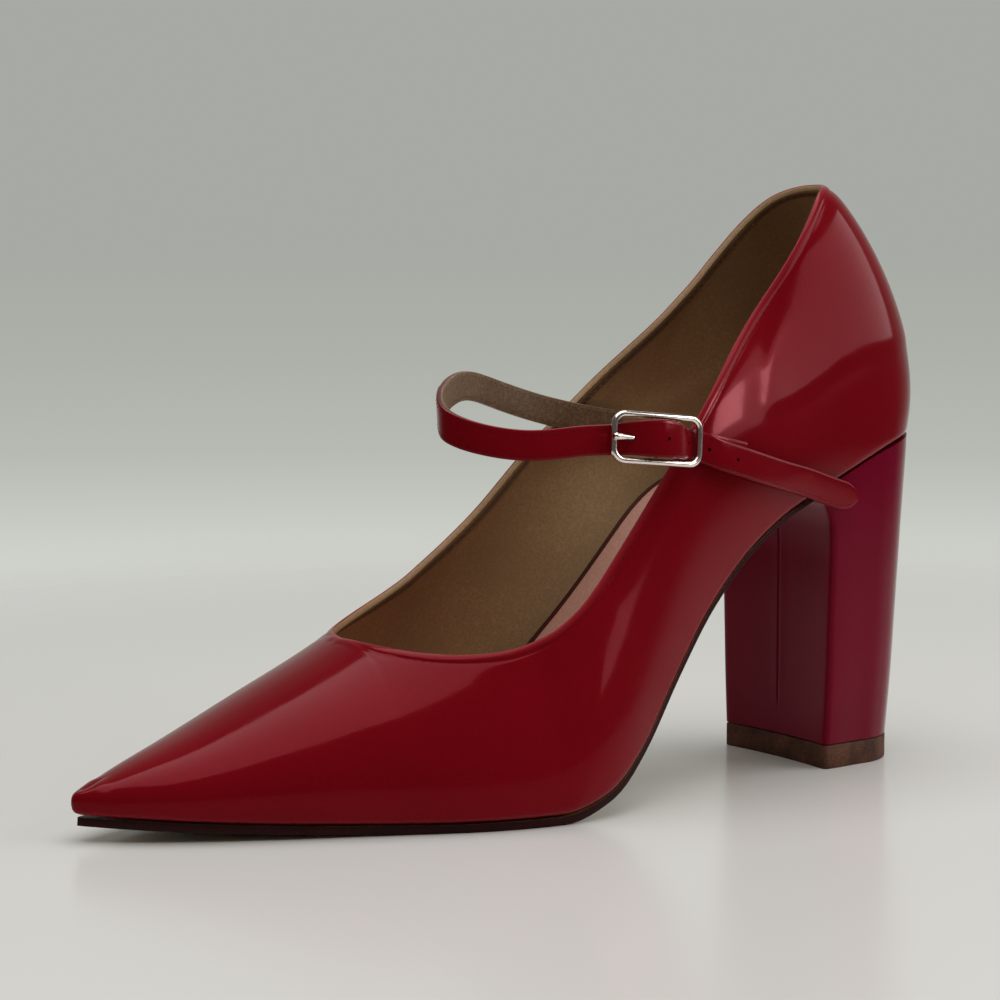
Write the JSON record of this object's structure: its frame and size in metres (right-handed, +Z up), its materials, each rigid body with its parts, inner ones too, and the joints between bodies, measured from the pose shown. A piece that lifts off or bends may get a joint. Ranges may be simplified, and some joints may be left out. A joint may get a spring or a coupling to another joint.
{
  "type": "mary jane court shoe",
  "caption": "Left Mary Jane court shoe in patent leather with a pointed toe, a high block heel, a thin leather sole and a buckled strap over the instep",
  "frame": {"origin": "middle of the heel's flat ground face", "axes": "+X forward along the shoe towards the toe, +Y to the wearer's left, which is this left shoe's outer side, +Z up from the ground"},
  "size_m": [0.2414, 0.083, 0.1546],
  "materials": {
    "patent_leather": "dark red patent leather, mirror gloss, light leather lining inside",
    "lining_leather": "pinkish beige lining leather, smooth and matt",
    "sole_leather": "tan sole leather, smooth, slightly polished",
    "heel_cover": "dark red patent leather stretched over the heel block",
    "top_piece_rubber": "dark brown rubber, matt",
    "strap_leather": "dark red patent leather, lined with brown leather",
    "short_strap_leather": "dark red patent leather",
    "buckle_metal": "polished light metal plating",
    "prong_metal": "polished light metal plating"
  },
  "bodies": {
    "root": {"upper": "patent_leather", "insole": "lining_leather", "outsole": "sole_leather", "heel": "heel_cover", "top_piece": "top_piece_rubber", "instep_strap": "strap_leather", "buckle_strap": "short_strap_leather", "buckle_frame": "buckle_metal", "buckle_prong": "prong_metal"}
  },
  "joints": []
}
